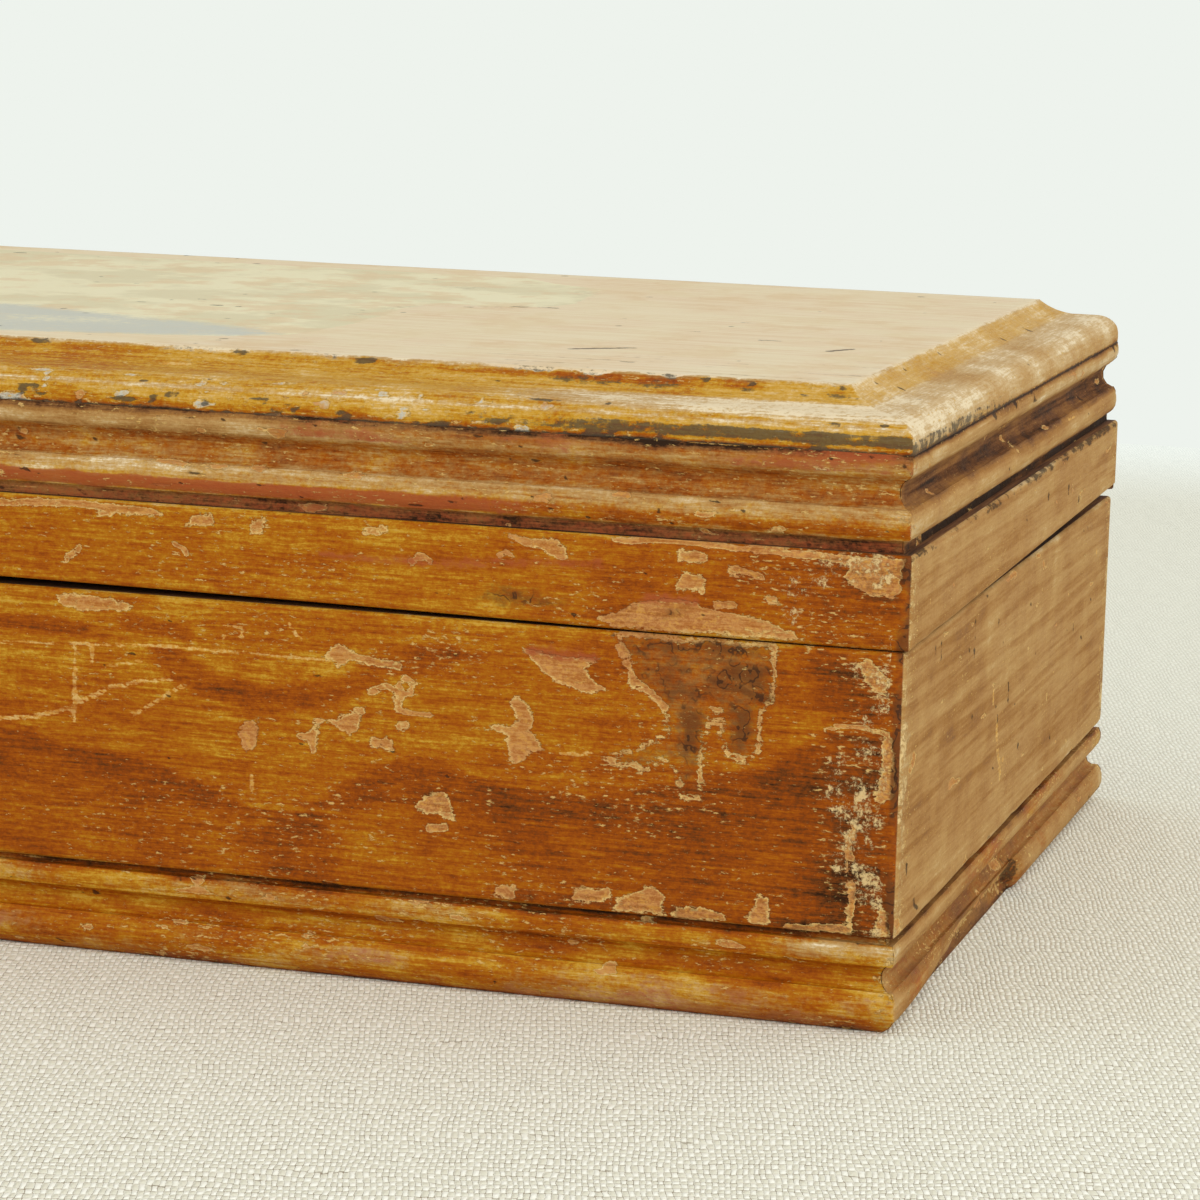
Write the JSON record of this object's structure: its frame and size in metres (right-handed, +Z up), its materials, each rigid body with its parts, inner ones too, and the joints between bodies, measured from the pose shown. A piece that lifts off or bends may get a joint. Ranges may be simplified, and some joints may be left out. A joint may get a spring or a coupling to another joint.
{
  "type": "antique candle box",
  "caption": "Long low wooden box with mitred, moulded base and hinged lid, a coved top board and worn amber varnish, for storing candles.",
  "frame": {"origin": "centre of the box's underside, on the plane that it stands on", "axes": "+X along the box to its right end, +Y towards the hinges at the back, +Z up"},
  "size_m": [0.261, 0.131, 0.0703],
  "materials": {
    "varnished_wood": "old amber varnish over softwood, worn and scratched",
    "end_wood": "weathered bare wood with traces of varnish",
    "top_wood": "pale bare wood, varnish left in the cove",
    "plain_wood": "unfinished softwood",
    "hinge_brass": "tarnished sheet brass",
    "nail_iron": "dull iron wire"
  },
  "bodies": {
    "box": {"base_moulding_front": "varnished_wood", "base_moulding_back": "varnished_wood", "base_moulding_left": "end_wood", "base_moulding_right": "end_wood", "bottom_board": "plain_wood", "body_front_board": "varnished_wood", "body_back_board": "varnished_wood", "body_left_end": "end_wood", "body_right_end": "end_wood", "hinge_left_body_leaf": "hinge_brass", "hinge_right_body_leaf": "hinge_brass", "hinge_left_pin": "nail_iron", "hinge_right_pin": "nail_iron", "hinge_body_nails": "nail_iron"},
    "lid": {"lid_rim_front": "varnished_wood", "lid_rim_back": "varnished_wood", "lid_rim_left": "end_wood", "lid_rim_right": "end_wood", "lid_cornice_front": "varnished_wood", "lid_cornice_back": "varnished_wood", "lid_cornice_left": "end_wood", "lid_cornice_right": "end_wood", "lid_top_board": "top_wood", "hinge_left_lid_leaf": "hinge_brass", "hinge_right_lid_leaf": "hinge_brass", "hinge_lid_nails": "nail_iron"}
  },
  "joints": [
    {"name": "lid_hinge", "type": "hinge", "parent": "box", "child": "lid", "pos_m": [0, 0.06445, 0.0432], "axis": [-1, 0, 0], "range_deg": [0, 105]}
  ]
}
